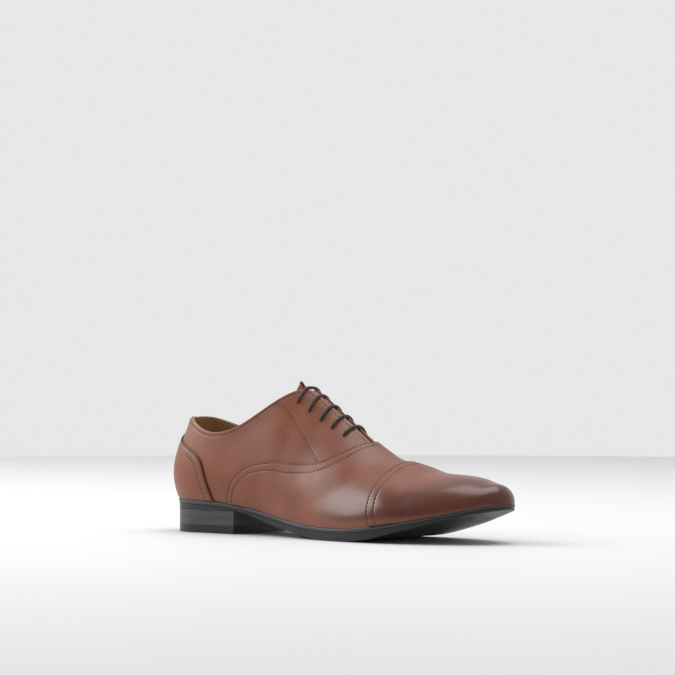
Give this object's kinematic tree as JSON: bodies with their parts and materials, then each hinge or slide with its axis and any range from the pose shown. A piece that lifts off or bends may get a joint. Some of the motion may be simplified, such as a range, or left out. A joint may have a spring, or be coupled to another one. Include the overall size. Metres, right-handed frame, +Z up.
{
  "type": "leather oxford shoe",
  "caption": "Right leather oxford dress shoe, cap toe and closed lacing, low stacked heel, curved rubber sole with toe spring.",
  "frame": {"origin": "on the ground, under the middle of the shoe's bounding box", "axes": "+X from heel to toe, +Y to the medial (inner) side of this right shoe, +Z up"},
  "size_m": [0.3111, 0.0964, 0.1154],
  "materials": {
    "upper_leather": "smooth polished calf, burnished darker at the toe",
    "lining_leather": "matte tan lining leather",
    "stiffener": "stiffened backer cloth",
    "sole_rubber": "dark grey-black rubber, satin edge",
    "welt": "dark grey rubber rand, satin",
    "heel_board": "stacked board stained black, fine layer lines",
    "cork": "pressed cork",
    "insole_board": "leather board",
    "steel": "plain steel",
    "eyelet_brass": "hidden brass eyelet",
    "lace": "waxed round braid, very dark brown",
    "aglet": "dark plastic tip"
  },
  "bodies": {
    "shoe": {"outsole": "sole_rubber", "welt": "welt", "cork_filler": "cork", "shank": "steel", "insole_board": "insole_board", "sock_liner": "lining_leather", "top_lift": "sole_rubber", "heel_lift_lower": "heel_board", "heel_lift_upper": "heel_board", "heel_pins": "steel", "vamp": "upper_leather", "toe_cap": "upper_leather", "counter_cover": "upper_leather", "quarter_lateral": "upper_leather", "quarter_medial": "upper_leather", "heel_counter": "stiffener", "topline_tape": "stiffener", "toe_puff": "stiffener", "vamp_backer": "stiffener", "quarter_backer_lateral": "stiffener", "quarter_backer_medial": "stiffener", "facing_stay_lateral": "stiffener", "facing_stay_medial": "stiffener", "vamp_lining": "lining_leather", "quarter_lining_lateral": "lining_leather", "quarter_lining_medial": "lining_leather", "eyelets": "eyelet_brass", "lace": "lace", "aglets": "aglet"},
    "tongue": {"tongue": "upper_leather", "tongue_lining": "lining_leather"}
  },
  "joints": [
    {"name": "tongue_hinge", "type": "hinge", "parent": "shoe", "child": "tongue", "pos_m": [0.03505, 0.00963, 0.0575], "axis": [0, 1, 0], "range_deg": [-14, 0]}
  ]
}
